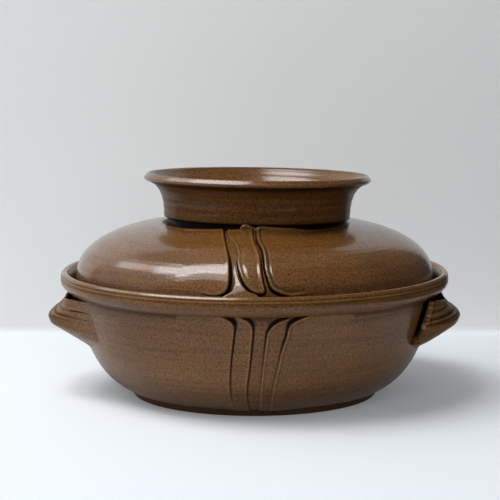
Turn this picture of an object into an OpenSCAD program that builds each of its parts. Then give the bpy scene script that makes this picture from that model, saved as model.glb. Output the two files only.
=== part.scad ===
// Lidded stoneware casserole, thrown on the wheel: a round bowl with two hollow lug handles,
// and a domed lid that lifts off by its turned-out collar.
// Millimetres, +Z up. The origin is the centre of the standing ring, +X runs through the handles,
// and the draped clay folds on the bowl and the lid face -Y.

/* [Foot] */
// Outside diameter of the foot ring
foot_d = 158; // [140:1:170]
// Height of the foot ring
foot_h = 4.4; // [3:0.2:6]
// Width of the foot ring's standing face
foot_w = 10; // [6:0.5:16]
// Depth of the hollow inside the foot ring
foot_hollow = 2.5; // [1:0.1:3.5]
// Overhang of the belly beyond the foot ring
foot_step = 2.5; // [1:0.1:4]
// Bevel on the foot ring's lower edge
foot_bevel = 0.8; // [0.4:0.1:1.5]

/* [Bowl] */
// Outside diameter of the rim
rim_d = 250; // [230:1:280]
// Height of the rim's crest above the table
rim_z = 80.6; // [74:0.2:95]
// Height of the flared rim band
rim_h = 13; // [11:0.2:15]
// Overhang of the rim band beyond the wall below it
rim_out = 6.5; // [5:0.1:8]
// Thickness of the rim's rolled lip
lip_t = 4.6; // [3.6:0.1:6]
// Thickness of the wall
wall_t = 6; // [4.5:0.1:7]
// Thickness of the floor
floor_t = 7; // [5.5:0.1:9]

/* [Gallery] */
// Depth of the lid's seat below the rim's crest
seat_deep = 9.5; // [8:0.1:11]
// Distance from the rim's widest edge in to the gallery's wall
seat_in = 8.6; // [7:0.1:11]
// Width of the flat seat
seat_w = 8; // [6:0.1:10]
// Clearance between the lid's edge and the gallery's wall, all round
lid_gap = 1.3; // [0.6:0.1:2]

/* [Lid] */
// Thickness of the lid's wall
lid_t = 5.5; // [4:0.1:7]
// Height of the dome's shoulder above the seat
dome_h = 40; // [34:0.5:50]
// Height of the upright band at the lid's edge
band_h = 6.5; // [4:0.1:9]
// Rise of the crown inside the collar
crown_h = 1.6; // [0.5:0.1:4]

/* [Collar] */
// Outside diameter of the collar at its base
collar_d = 119.6; // [100:0.2:140]
// Height of the collar, from the lid's shoulder to the crest of its lip
collar_h = 31; // [24:0.5:40]
// Overhang of the collar's lip beyond its base
collar_out = 13.2; // [9:0.2:18]
// Thickness of the collar's wall
collar_t = 5; // [4:0.1:6]
// Thickness of the collar's rolled lip
collar_lip_t = 4.2; // [3:0.1:5]
// Height of the undercut where the collar meets the lid
undercut_h = 3; // [1:0.1:4]
// Depth of that undercut
undercut_w = 2; // [0.6:0.1:2.5]
// Lean of the collar, up at the front, in degrees
collar_lean = 1.5; // [0:0.1:3]
// Tilt of the collar, up at the left, in degrees
collar_tilt = 0.9; // [0:0.1:2]
// Distance of the collar's axis to the right of the lid's
collar_x = 1.5; // [0:0.1:2]

/* [Handles] */
// Reach of a handle's nose beyond the wall's top
handle_out = 14.8; // [10:0.2:18]
// Height of the nose below the wall's top
handle_drop = 16.4; // [13:0.2:20]
// Height of the underside's root below the wall's top
root_drop = 34; // [30:0.5:40]
// Depth of the lip's free edge below the wall's top, at a handle's middle
handle_top = 4.4; // [1:0.1:6]
// Depth of the lip's free edge below the wall's top, at a handle's ends
end_top = 0.6; // [0.4:0.1:4]
// Thickness of the clay in a handle
handle_t = 3.6; // [3:0.1:4.5]
// Width of the slot between a handle's lip and the wall
handle_slot = 3.2; // [1.5:0.1:3.8]
// Rise of the underside's root at a handle's ends
root_rise = 8; // [4:0.5:12]
// Angle that a handle spans round the bowl, in degrees
handle_span = 56; // [40:1:66]
// Depth of the throwing grooves on a handle
groove_deep = 0.8; // [0.1:0.1:1]
// Clearance between a handle and the wall that it is luted to
lute_gap = 0.05; // [0.02:0.01:0.1]

/* [Clay folds] */
// Thickness of an inner fold
fold_t = 1.2; // [0.8:0.1:2]
// Thickness of an outer fold at its free edge
drape_t = 2.4; // [1.6:0.1:3.2]
// Thickness of an outer fold where it is smoothed into the wall
smear_t = 0.3; // [0.2:0.05:0.5]
// Distance over which an outer fold is smoothed away
drape_reach = 42; // [34:1:50]
// Width of the bare strip between the bowl's inner folds, under the rim
strip_top_w = 7.9; // [4:0.1:12]
// Width of the same strip at the foot
strip_foot_w = 5.4; // [3:0.1:9]
// Place of the strip's middle under the rim, from the centre line
strip_top_x = 2.7; // [-6:0.1:6]
// Place of the strip's middle at the foot
strip_foot_x = -0.3; // [-6:0.1:6]
// Width that the left inner fold shows beside the outer one, under the rim
left_top_w = 9.8; // [6:0.1:14]
// Width that it shows at the foot
left_foot_w = 9.5; // [6:0.1:14]
// Width that the right inner fold shows beside the outer one, under the rim
right_top_w = 10.6; // [6:0.1:14]
// Width that it shows at the foot
right_foot_w = 6.4; // [5:0.1:14]
// Sideways swell of the left folds' edges in their lower half
left_swell = 4.5; // [0:0.1:6]
// Sideways swell of the right folds' edges in their lower half
right_swell = 1.2; // [0:0.1:4]
// Place of the lid's left fold edge at the collar, from the centre line
lid_edge_top_x = -18.5; // [-24:0.1:-12]
// Place of the same edge near the lid's foot
lid_edge_low_x = -14.8; // [-20:0.1:-10]
// Width of the bare wedge between the left fold and the flap, at the collar
wedge_top_w = 7; // [4:0.1:10]
// Width of the same wedge near the lid's foot
wedge_low_w = 14.8; // [10:0.1:18]
// Width of the flap at the collar
flap_top_w = 10.5; // [7:0.1:14]
// Width of the flap near its lower end
flap_low_w = 6.5; // [4:0.1:10]
// Width of the groove between the flap and the right fold, at the collar
groove_top_w = 2.5; // [1.5:0.1:4]
// Width of the same groove near the lid's foot
groove_low_w = 3.5; // [2:0.1:5]
// Height of the lid folds' lower ends above the seat
lid_fold_up = 8.6; // [7:0.2:12]

/* [Hidden] */
$fn = 96;

glaze = "#6b4a33";
glaze_thin = "#7d583d";
glaze_dark = "#553825";

// Levels and radii that the pieces share
foot_r = foot_d / 2;
rim_r = rim_d / 2;
neck_r = rim_r - rim_out;
neck_z = rim_z - rim_h;
seat_r = rim_r - seat_in;
seat_z = rim_z - seat_deep;
lid_r = seat_r - lid_gap;
collar_r = collar_d / 2;
shoulder_z = seat_z + dome_h;
crest_z = shoulder_z + collar_h;
curve_steps = 16;

// Curves
function cubic(p, t) =
    pow(1 - t, 3) * p[0] + 3 * t * pow(1 - t, 2) * p[1] + 3 * t * t * (1 - t) * p[2] + pow(t, 3) * p[3];
function cubic_way(p, t) =
    pow(1 - t, 2) * (p[1] - p[0]) + 2 * t * (1 - t) * (p[2] - p[1]) + t * t * (p[3] - p[2]);
function curve(p, steps = curve_steps) = [for (i = [0 : steps]) cubic(p, i / steps)];
// The same curve moved sideways, to the right of its run for a positive distance
function beside(p, distance, from = 0, to = 1, steps = curve_steps) = [
    for (i = [0 : steps])
        let (t = from + (to - from) * i / steps, way = cubic_way(p, t))
            cubic(p, t) + distance * [way.y, -way.x] / norm(way)
];
function reversed(list) = [for (i = [len(list) - 1 : -1 : 0]) list[i]];
function mixed(a, b, share) = a + (b - a) * share;

// Outside of the bowl, from the table up to the rim's crest
belly_start = [foot_r + foot_step, foot_h];
belly_end = [neck_r, neck_z];
belly_size = belly_end - belly_start;
belly = [
    belly_start,
    belly_start + [belly_size.x * 0.62, belly_size.y * 0.175],
    belly_start + [belly_size.x * 0.73, belly_size.y * 0.476],
    belly_end
];
rim_widest = [rim_r, rim_z - rim_h * 0.41];
rim_crest = [rim_r - lip_t * 0.52, rim_z];
rim_under = [
    belly_end,
    belly_end + [rim_out * 0.45, rim_h * 0.09],
    rim_widest - [0, rim_h * 0.28],
    rim_widest
];
rim_over = [rim_widest, rim_widest + [0, rim_h * 0.23], rim_crest + [lip_t * 0.37, 0], rim_crest];
bowl_outside = concat(
    [[foot_r - foot_bevel, 0], [foot_r, foot_bevel], [foot_r, foot_h]],
    curve(belly),
    curve(rim_under, 8),
    curve(rim_over, 6)
);
belly_table = [for (p = curve(belly)) [p.y, p.x]];
function wall_r(z) = lookup(z, belly_table);

// Inside of the bowl, from the crest down to the floor
lip_inner = [rim_r - lip_t, rim_z - lip_t * 0.4];
lip_roll = [rim_crest, rim_crest - [lip_t * 0.28, 0], lip_inner + [lip_t * 0.05, lip_t * 0.25], lip_inner];
seat_inner_r = seat_r - seat_w;
seat_round = 1;
floor_z = foot_hollow + floor_t;
inner_wall = beside(belly, -wall_t, 0, 0.85);
inner_top = inner_wall[len(inner_wall) - 1];
under_seat = [
    [seat_inner_r, seat_z - seat_round],
    [seat_inner_r, mixed(seat_z, inner_top.y, 0.5)],
    mixed(inner_top, [inner_top.x + wall_t * 0.4, seat_z], 0.4),
    inner_top
];
bowl_inside = concat(
    curve(lip_roll, 5),
    [[seat_r, seat_z + seat_round], [seat_r - seat_round, seat_z]],
    [[seat_inner_r + seat_round, seat_z]],
    curve(under_seat, 8),
    reversed([for (p = inner_wall) if (p.y > floor_z && p.y < inner_top.y) p]),
    [[foot_r - wall_t, floor_z], [0, floor_z]]
);

// Outside of the lid, from its seat up to the crown, and its wall's inner face
lid_edge_round = 0.8;
band_top = [lid_r, seat_z + band_h];
shoulder = [collar_r, shoulder_z];
dome = [
    band_top,
    band_top + [0, (dome_h - band_h) * 0.55],
    shoulder + [(lid_r - collar_r) * 0.58, -(dome_h - band_h) * 0.076],
    shoulder
];
crown = [
    shoulder,
    shoulder + [-collar_r * 0.3, crown_h * 0.7],
    [collar_r * 0.4, shoulder_z + crown_h],
    [0, shoulder_z + crown_h]
];
lid_outside = concat([[lid_r - lid_edge_round, seat_z], [lid_r, seat_z + lid_edge_round]], curve(dome));
lid_inside = concat(
    reversed([for (p = curve(crown, 8)) p - [0, lid_t]]),
    reversed(beside(dome, -lid_t, 0, 0.97)),
    [[lid_r - lid_t, seat_z]]
);
dome_table = [for (p = curve(dome)) [p.y, p.x]];
function dome_r(z) = lookup(z, dome_table);

// Collar
collar_seat_r = collar_r - undercut_w;
collar_base = [collar_r, shoulder_z + undercut_h];
collar_edge_r = collar_r + collar_out;
collar_turn = [collar_edge_r - collar_lip_t * 0.4, crest_z - collar_lip_t * 0.92];
collar_crest = [collar_edge_r - collar_lip_t * 0.55, crest_z];
collar_wall = [
    collar_base,
    collar_base + [collar_out * 0.02, collar_h * 0.39],
    [collar_r + collar_out * 0.18, crest_z - collar_h * 0.25],
    collar_turn
];
collar_roll = [
    collar_turn,
    [collar_edge_r + collar_lip_t * 0.12, crest_z - collar_lip_t * 0.8],
    [collar_edge_r + collar_lip_t * 0.12, crest_z],
    collar_crest
];
collar_hollow = [
    collar_crest - [collar_lip_t * 0.9, collar_lip_t * 0.35],
    [collar_r + collar_out * 0.1, crest_z - collar_h * 0.1],
    [collar_r - collar_t, crest_z - collar_h * 0.28],
    [collar_r - collar_t, crest_z - collar_h * 0.7]
];

// The collar's root is cut off level with the shoulder, so it runs on below it
collar_root = collar_r * (sin(collar_lean) + sin(collar_tilt)) + undercut_h;

module revolved(points) {
    rotate_extrude() polygon(points);
}

// The bowl's and the lid's outsides, filled in to the axis
module bowl_mass() {
    revolved(concat([[0, 0]], bowl_outside, [[0, rim_z]]));
}
module lid_mass() {
    revolved(concat([[0, seat_z]], lid_outside, curve(crown, 8)));
}

module bowl() {
    ring_inner_r = foot_r - foot_w;
    color(glaze) revolved(concat(
        [[0, foot_hollow], [ring_inner_r - foot_hollow, foot_hollow], [ring_inner_r, 0]],
        bowl_outside,
        bowl_inside
    ));
}

// Sets its children on the shoulder as the collar stands there
module on_shoulder() {
    translate([collar_x, 0, shoulder_z])
        rotate([-collar_lean, collar_tilt, 0])
            translate([0, 0, -shoulder_z]) children();
}

module lid_dome() {
    flat_r = collar_r - collar_t - collar_x - seat_round;
    color(glaze) revolved(concat(
        lid_outside,
        [[flat_r, shoulder_z]],
        [for (p = curve(crown, 8)) if (p.x < flat_r) p],
        lid_inside
    ));
}

module lid_collar() {
    root_z = shoulder_z - collar_root;
    color(glaze) difference() {
        on_shoulder() revolved(concat(
            [[collar_r - collar_t, root_z], [collar_seat_r, root_z], [collar_seat_r, shoulder_z]],
            curve(collar_wall, 14),
            curve(collar_roll, 8),
            curve(collar_hollow, 10)
        ));
        translate([0, 0, shoulder_z - dome_h]) cylinder(r = lid_r, h = dome_h);
    }
}

// Handles: a bent slab of clay, lofted round the bowl. Its free lip stands off the wall at the top,
// it swells out to a nose and its underside runs back in to the wall. Both ends are drawn in,
// where the slab lies flat and fans out: the end at -Y stays open, and the other is smoothed on to the wall.
handle_steps = 24;
face_steps = 15;
under_steps = 5;
groove_count = 3;
smooth_from = 0.3;
open_bend = 2.6;
slot_end = 0.45;
end_fan = 2.6;
lip_z = neck_z - handle_top;
root_z = neck_z - root_drop;
back_root_z = root_z + handle_t * 1.5;
nose = [neck_r + handle_out, neck_z - handle_drop];
nose_round = handle_t * 0.42;
nose_over = nose + [0, nose_round];
nose_under = nose - nose_round * [1.07, 1.73];
nose_back = nose_over - [handle_t * 1.55, 0];
nose_back_under = nose_back - nose_round * [1.07, 1.3];
lip_face = [wall_r(lip_z) + handle_slot + handle_t, lip_z];
lip_back = lip_face - [handle_t, 0];
lip_pull = [handle_out * 0.07, -handle_drop * 0.5];
nose_pull = [-handle_out * 0.34, handle_drop * 0.25];
handle_face = [lip_face, lip_face + lip_pull, nose_over + nose_pull, nose_over];
handle_back = [lip_back, lip_back + lip_pull, nose_back + nose_pull, nose_back];
handle_face_points = concat(
    [for (i = [0 : face_steps])
        let (t = i / face_steps)
            cubic(handle_face, t) - [groove_deep * (0.5 - 0.5 * cos(360 * groove_count * t)), 0]],
    [nose - nose_round * [0.2, 0.8], nose_under],
    [for (i = [1 : under_steps]) mixed(nose_under, [wall_r(root_z), root_z], i / under_steps)]
);
handle_back_points = concat(
    [for (i = [0 : face_steps]) cubic(handle_back, i / face_steps)],
    [nose_back - nose_round * [0.3, 0.6], nose_back_under],
    [for (i = [1 : under_steps]) mixed(nose_back_under, [wall_r(back_root_z), back_root_z], i / under_steps)]
);
row_count = len(handle_face_points);
ring_count = 2 * row_count;

// How far the ends have been drawn in at a share of the span from -1, the smoothed end, to 1, the open one.
// The open end's slot closes half way down.
function eased_in(share) = share * share * (3 - 2 * share);
function drawn_in(end) =
    end < 0 ? eased_in(max(0, -end - smooth_from) / (1 - smooth_from)) : pow(end, open_bend);
function end_face(end, low) = (end < 0 ? smear_t : handle_slot + handle_t) * (1 - pow(low, 6));
function end_back(end, low) = (end < 0 ? 0 : handle_slot) * (1 - pow(min(low / slot_end, 1), 3));
function end_z(low) = mixed(neck_z - end_top, root_z + root_rise, 1 - pow(max(0, 1 - low), end_fan));
function handle_point(p, stand_end, end, turn) =
    let (
        draw = drawn_in(end),
        low = (lip_z - p.y) / (lip_z - root_z),
        z = mixed(p.y, end_z(low), draw),
        stand = mixed(p.x - wall_r(p.y), stand_end, draw),
        r = (wall_r(z) + lute_gap) / cos(handle_span / handle_steps / 2) + max(stand, 0)
    )
    [r * cos(turn), -r * sin(turn), z];
function handle_ring(k) =
    let (end = 2 * k / handle_steps - 1, turn = end * handle_span / 2, last = row_count - 1)
        concat(
            [for (i = [0 : last])
                handle_point(handle_face_points[i], end_face(end, i / last), end, turn)],
            [for (i = [last : -1 : 0])
                handle_point(handle_back_points[i], end_back(end, i / last), end, turn)]
        );

module lug_handle() {
    rings = [for (k = [0 : handle_steps]) each handle_ring(k)];
    sides = [
        for (k = [0 : handle_steps - 1], i = [0 : ring_count - 1])
            let (
                a = k * ring_count + i,
                b = k * ring_count + (i + 1) % ring_count,
                c = b + ring_count,
                d = a + ring_count
            )
            each [[a, b, c], [a, c, d]]
    ];
    ends = [
        for (i = [0 : row_count - 2])
            let (
                a = i,
                b = i + 1,
                c = ring_count - 2 - i,
                d = ring_count - 1 - i,
                far = handle_steps * ring_count
            )
            each [[a, c, b], [a, d, c], [far + a, far + b, far + c], [far + a, far + c, far + d]]
    ];
    polyhedron(points = rings, faces = concat(sides, ends));
}

module right_handle() {
    color(glaze_dark) lug_handle();
}
module left_handle() {
    color(glaze_dark) rotate([0, 0, 180]) lug_handle();
}

// Clay folds. An outline on the front elevation is carried back on to the surface that it lies on.
module front_outline(points) {
    rotate([90, 0, 0]) linear_extrude(rim_r) polygon(points);
}
// Turns its children about the line from a to b
module turned_about(a, b, angle) {
    translate(a) rotate(a = angle, v = b - a) translate(-a) children();
}
function on_bowl(x, z) = [x, -sqrt(pow(wall_r(z), 2) - x * x), z];
function on_dome(x, z) = [x, -sqrt(pow(dome_r(z), 2) - x * x), z];

lift = atan(drape_t / drape_reach);
keep_x = drape_reach * (1 - smear_t / drape_t);
fold_inset = 0.5;
fold_low = belly_start.y + fold_inset;
fold_high = neck_z - fold_inset;
edge_steps = 10;
corner_steps = 6;

// Places of the bowl's four fold edges, from left to right: under the rim, at the foot, and their swell
strip_left = [strip_top_x - strip_top_w / 2, strip_foot_x - strip_foot_w / 2];
strip_right = strip_left + [strip_top_w, strip_foot_w];
fold_top_x = [strip_left[0] - left_top_w, strip_left[0], strip_right[0], strip_right[0] + right_top_w];
fold_foot_x = [strip_left[1] - left_foot_w, strip_left[1], strip_right[1], strip_right[1] + right_foot_w];
fold_swell = [-left_swell, -left_swell, right_swell, right_swell];

// One fold edge on the bowl, from under the rim down to the foot
function fold_edge(i, z_top) = curve([
    [fold_top_x[i], z_top],
    [fold_top_x[i], mixed(z_top, fold_low, 0.3)],
    [fold_foot_x[i] + fold_swell[i], mixed(z_top, fold_low, 0.65)],
    [fold_foot_x[i], fold_low]
], edge_steps);
// A rounded corner that runs from the top edge down into a fold edge
function fold_corner(x, z, side, width, height) = curve([
    [x - side * width, z],
    [x - side * width * 0.4, z],
    [x, z - height * 0.4],
    [x, z - height]
], corner_steps);

module bowl_drape(side, edge) {
    top_x = edge[0].x;
    foot_x = edge[len(edge) - 1].x;
    difference() {
        intersection() {
            front_outline(concat(edge, [[foot_x - side * keep_x, fold_low], [top_x - side * keep_x, fold_high]]));
            turned_about(
                on_bowl(top_x - side * drape_reach, neck_z),
                on_bowl(foot_x - side * drape_reach, foot_h + foot_step),
                side * lift
            ) bowl_mass();
        }
        bowl_mass();
    }
}
module bowl_layer(points) {
    intersection() {
        front_outline(points);
        revolved(concat(beside(belly, fold_t), reversed(curve(belly))));
    }
}

// Corners under the rim, deeper on the inner folds
corner_w = 7;
corner_h = [3, 4.5, 9, 3];
function whole_edge(i, side) = concat(
    fold_corner(fold_top_x[i], fold_high, side, corner_w, corner_h[i]),
    fold_edge(i, fold_high - corner_h[i])
);

module bowl_fold_outer_left() {
    color(glaze_thin) bowl_drape(1, whole_edge(0, 1));
}
module bowl_fold_outer_right() {
    color(glaze_thin) bowl_drape(-1, whole_edge(3, -1));
}
module bowl_fold_inner_left() {
    color(glaze_dark) bowl_layer(concat(whole_edge(1, 1), reversed(fold_edge(0, fold_high - corner_h[0]))));
}
module bowl_fold_inner_right() {
    color(glaze_dark) bowl_layer(concat(whole_edge(2, -1), reversed(fold_edge(3, fold_high - corner_h[3]))));
}

// Places of the lid's four fold edges, from left to right: at the collar and near the foot
lid_top_x = [
    lid_edge_top_x,
    lid_edge_top_x + wedge_top_w,
    lid_edge_top_x + wedge_top_w + flap_top_w,
    lid_edge_top_x + wedge_top_w + flap_top_w + groove_top_w
];
lid_low_x = [
    lid_edge_low_x,
    lid_edge_low_x + wedge_low_w,
    lid_edge_low_x + wedge_low_w + flap_low_w,
    lid_edge_low_x + wedge_low_w + flap_low_w + groove_low_w
];
// Sideways swell of the same edges, in their upper and lower halves
lid_swell = [[1.5, 0.2], [-2, -9], [2.5, -2.5], [2, -3.5]];
// Height above the folds' lower ends at which each edge turns aside or ends
lid_turn_h = [7, 2, 2, 4];
lid_low = seat_z + lid_fold_up;
lid_high = shoulder_z + undercut_h * 0.6;
function lid_edge(i) =
    let (z_end = lid_low + lid_turn_h[i])
        curve([
            [lid_top_x[i], lid_high],
            [lid_top_x[i] + lid_swell[i][0], mixed(lid_high, z_end, 0.3)],
            [lid_low_x[i] + lid_swell[i][1], mixed(lid_high, z_end, 0.6)],
            [lid_low_x[i], z_end]
        ], edge_steps);
// The rounded turn at the foot of an outer fold, away from the centre line
function lid_turn(i, side) =
    let (x = lid_low_x[i], z_start = lid_low + lid_turn_h[i])
        curve([
            [x, z_start],
            [x, mixed(z_start, lid_low, 0.75)],
            [x - side * corner_w * 0.4, lid_low],
            [x - side * corner_w * 1.4, lid_low]
        ], corner_steps);

module lid_drape(side, edge) {
    far_x = edge[0].x - side * drape_reach;
    smear_x = edge[0].x - side * keep_x;
    difference() {
        intersection() {
            front_outline(concat(edge, [[smear_x, lid_low], [smear_x, lid_high]]));
            turned_about(
                on_dome(far_x, shoulder_z - fold_t),
                on_dome(far_x, lid_low),
                side * lift
            ) lid_mass();
        }
        lid_mass();
        on_shoulder() translate([0, 0, seat_z]) cylinder(r = collar_r + lute_gap, h = dome_h + collar_h);
    }
}

module lid_fold_left() {
    color(glaze_thin) lid_drape(1, concat(lid_edge(0), lid_turn(0, 1)));
}
module lid_fold_right() {
    color(glaze_thin) lid_drape(-1, concat(lid_edge(3), lid_turn(3, -1)));
}
module lid_fold_middle() {
    color(glaze_dark) intersection() {
        front_outline(concat(lid_edge(1), reversed(lid_edge(2))));
        revolved(concat(beside(dome, fold_t), reversed(curve(dome))));
    }
}

bowl();
left_handle();
right_handle();
bowl_fold_outer_left();
bowl_fold_inner_left();
bowl_fold_inner_right();
bowl_fold_outer_right();
lid_dome();
lid_collar();
lid_fold_left();
lid_fold_middle();
lid_fold_right();
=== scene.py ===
"""Lidded stoneware casserole with draped clay folds: the finish of every surface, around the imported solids.

Shapes are worked out in millimetres and turned into metres when their meshes are made. The bowl, the lid
and its collar are turned by one Geometry Nodes tree, and the folds are sheets laid on the surfaces that they
were draped on.
"""

import math
from functools import partial

import bmesh
import bpy
import numpy as np
from mathutils import Matrix


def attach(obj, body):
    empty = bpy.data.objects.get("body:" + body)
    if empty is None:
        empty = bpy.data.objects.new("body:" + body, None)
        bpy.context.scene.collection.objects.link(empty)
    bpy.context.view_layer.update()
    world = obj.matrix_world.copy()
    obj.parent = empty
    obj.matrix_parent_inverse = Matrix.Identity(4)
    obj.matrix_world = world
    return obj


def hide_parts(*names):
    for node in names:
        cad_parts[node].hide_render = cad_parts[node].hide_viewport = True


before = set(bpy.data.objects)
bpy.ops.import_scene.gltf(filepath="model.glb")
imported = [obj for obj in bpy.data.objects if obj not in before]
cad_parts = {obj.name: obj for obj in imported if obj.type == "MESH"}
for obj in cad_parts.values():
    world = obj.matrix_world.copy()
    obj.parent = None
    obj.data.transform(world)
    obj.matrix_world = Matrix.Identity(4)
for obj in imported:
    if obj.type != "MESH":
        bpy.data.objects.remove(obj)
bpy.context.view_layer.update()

MM = 0.001
FULL_TURN = 2 * math.pi

# Sizes of the solids, in millimetres
FOOT_R, FOOT_H, FOOT_W, FOOT_HOLLOW, FOOT_STEP, FOOT_BEVEL = 79, 4.4, 10, 2.5, 2.5, 0.8
RIM_R, RIM_Z, RIM_H, RIM_OUT, LIP_T = 125, 80.6, 13, 6.5, 4.6
WALL_T, FLOOR_T, FLOOR_R, FLOOR_TURN_R, FLOOR_TURN_H = 6, 7, 72, 93, 8
SEAT_DEEP, SEAT_IN, SEAT_W, LID_GAP = 9.5, 8.6, 8, 1.3
LID_T, DOME_H, BAND_H, CROWN_H = 5.5, 40, 6.5, 1.6
COLLAR_R, COLLAR_H, COLLAR_OUT, COLLAR_T, COLLAR_LIP_T = 59.8, 31, 13.2, 5, 4.2
UNDERCUT_H, UNDERCUT_W = 3, 2
COLLAR_LEAN, COLLAR_TILT, COLLAR_X = math.radians(1.5), math.radians(0.9), 1.5
HANDLE_OUT, HANDLE_DROP, ROOT_DROP, HANDLE_TOP = 14.8, 16.4, 36, 5.8
HANDLE_T, HANDLE_SLOT, HANDLE_SPAN, ROOT_RISE = 3.6, 3.2, math.radians(56), 8

NECK_R, NECK_Z = RIM_R - RIM_OUT, RIM_Z - RIM_H
SEAT_R, SEAT_Z = RIM_R - SEAT_IN, RIM_Z - SEAT_DEEP
LID_R = SEAT_R - LID_GAP
SHOULDER_Z = SEAT_Z + DOME_H
CREST_Z = SHOULDER_Z + COLLAR_H


# Curves

def bezier(points, count=60):
    """Points along a cubic curve."""
    a, b, c, d = np.array(points, float)
    t = np.linspace(0, 1, count)[:, None]
    return (1 - t) ** 3 * a + 3 * t * (1 - t) ** 2 * b + 3 * t * t * (1 - t) * c + t ** 3 * d


def directions(line):
    """Unit tangents of a line of points."""
    way = np.gradient(line, axis=0)
    return way / np.maximum(np.linalg.norm(way, axis=1), 1e-9)[:, None]


def beside(line, distance):
    """A line moved sideways, to the right of its run for a positive distance."""
    way = directions(line)
    return line + np.reshape(distance, (-1, 1)) * np.stack([way[:, 1], -way[:, 0]], 1)


def run_of(line):
    """Length along a line at each of its points."""
    return np.concatenate([[0], np.cumsum(np.linalg.norm(np.diff(line, axis=0), axis=1))])


def resampled(line, count):
    """A line with its points spread evenly. Its first two columns are its place."""
    run = run_of(line[:, :2])
    even = np.linspace(0, run[-1], count)
    return np.stack([np.interp(even, run, column) for column in line.T], 1)


def through(points, count):
    """An even, smooth line through a few points (Catmull-Rom)."""
    p = np.array(points, float)
    p = np.vstack([2 * p[0] - p[1], p, 2 * p[-1] - p[-2]])
    t = np.linspace(0, 1, 24, endpoint=False)[:, None]
    spans = []
    for a, b, c, d in zip(p, p[1:], p[2:], p[3:]):
        spans.append(0.5 * (2 * b + (c - a) * t + (2 * a - 5 * b + 4 * c - d) * t ** 2
                            + (3 * b - a - 3 * c + d) * t ** 3))
    return resampled(np.vstack(spans + [p[-2:-1]]), count)


def eased(line, count, soft):
    """A line with its corners softened, its ends kept."""
    fine = 400
    line = resampled(line, fine)
    width = max(1, int(soft / run_of(line)[-1] * fine))
    weights = np.ones(2 * width + 1) / (2 * width + 1)
    for _ in range(3):
        padded = np.pad(line, ((width, width), (0, 0)), mode="reflect", reflect_type="odd")
        line = np.stack([np.convolve(column, weights, "valid") for column in padded.T], 1)
    return resampled(line, count)


def smooth(x):
    """A step from 0 to 1 with level ends."""
    x = np.clip(x, 0, 1)
    return x * x * (3 - 2 * x)


def bell(x, middle, width):
    """A rounded peak of 1."""
    return np.exp(-((x - middle) / width) ** 2)


# Profiles of the thrown pieces, as (radius, height)

belly_start, belly_end = np.array([FOOT_R + FOOT_STEP, FOOT_H]), np.array([NECK_R, NECK_Z])
belly_size = belly_end - belly_start
belly = bezier([belly_start, belly_start + belly_size * [0.62, 0.175],
                belly_start + belly_size * [0.73, 0.476], belly_end], 160)
belly_foot, belly_side, belly_neck = np.split(belly, [8, -4])
rim_widest = np.array([RIM_R, RIM_Z - RIM_H * 0.41])
rim_crest = np.array([RIM_R - LIP_T * 0.52, RIM_Z])
rim_under = bezier([belly_end, belly_end + [RIM_OUT * 0.45, RIM_H * 0.09],
                    rim_widest - [0, RIM_H * 0.28], rim_widest])
rim_flat = np.array([RIM_R - 0.25, RIM_Z - 1.9])
rim_over = eased(np.vstack([bezier([rim_widest, rim_widest + [0, 1.4], rim_flat + [0.2, -1], rim_flat]),
                            [rim_flat + [-1.35, 1.6], rim_crest]]), 120, 0.12)
lip_inner = np.array([RIM_R - LIP_T, RIM_Z - LIP_T * 0.4])
lip_roll = bezier([rim_crest, rim_crest - [LIP_T * 0.28, 0],
                   lip_inner + [LIP_T * 0.05, LIP_T * 0.25], lip_inner])
inner_wall = beside(belly, -WALL_T)[: int(len(belly) * 0.85)]
inner_top = inner_wall[-1]
seat_inner_r = SEAT_R - SEAT_W
under_seat = bezier([[seat_inner_r, SEAT_Z - 1], [seat_inner_r, (SEAT_Z + inner_top[1]) / 2],
                     inner_top + ([inner_top[0] + WALL_T * 0.4, SEAT_Z] - inner_top) * 0.4, inner_top])
floor_z = FOOT_HOLLOW + FLOOR_T
floor_turn = bezier([[FLOOR_TURN_R, floor_z + FLOOR_TURN_H], [FLOOR_TURN_R - 3, floor_z + 3],
                     [FLOOR_R + 13, floor_z], [FLOOR_R, floor_z]])

band_top = np.array([LID_R, SEAT_Z + BAND_H])
shoulder = np.array([COLLAR_R, SHOULDER_Z])
dome_rise = DOME_H - BAND_H
dome = bezier([band_top, band_top + [0, dome_rise * 0.55],
               shoulder + [(LID_R - COLLAR_R) * 0.58, -dome_rise * 0.076], shoulder], 160)
crown = bezier([shoulder, shoulder + [-COLLAR_R * 0.3, CROWN_H * 0.7],
                [COLLAR_R * 0.4, SHOULDER_Z + CROWN_H], [0, SHOULDER_Z + CROWN_H]])

collar_base = np.array([COLLAR_R, SHOULDER_Z + UNDERCUT_H])
collar_edge_r = COLLAR_R + COLLAR_OUT
collar_turn = np.array([collar_edge_r - 1.9, CREST_Z - 5])
collar_crest = np.array([collar_edge_r - COLLAR_LIP_T * 0.55, CREST_Z])
collar_wall = bezier([collar_base, collar_base + [COLLAR_OUT * 0.02, COLLAR_H * 0.39],
                      [COLLAR_R + COLLAR_OUT * 0.18, CREST_Z - COLLAR_H * 0.25], collar_turn], 100)
collar_roll = eased(np.array([collar_turn, [collar_edge_r - 0.6, CREST_Z - 4.3],
                              [collar_edge_r, CREST_Z - 3.4], [collar_edge_r - 0.1, CREST_Z - 2.6],
                              [collar_edge_r - 1.8, CREST_Z - 0.6], collar_crest]), 60, 0.25)
collar_hollow = bezier([collar_crest - [2.4, 0.45], collar_crest - [6.7, 6.3],
                        [COLLAR_R - COLLAR_T + 1.4, CREST_Z - COLLAR_H * 0.44],
                        [COLLAR_R - COLLAR_T, CREST_Z - COLLAR_H * 0.7]])

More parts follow.
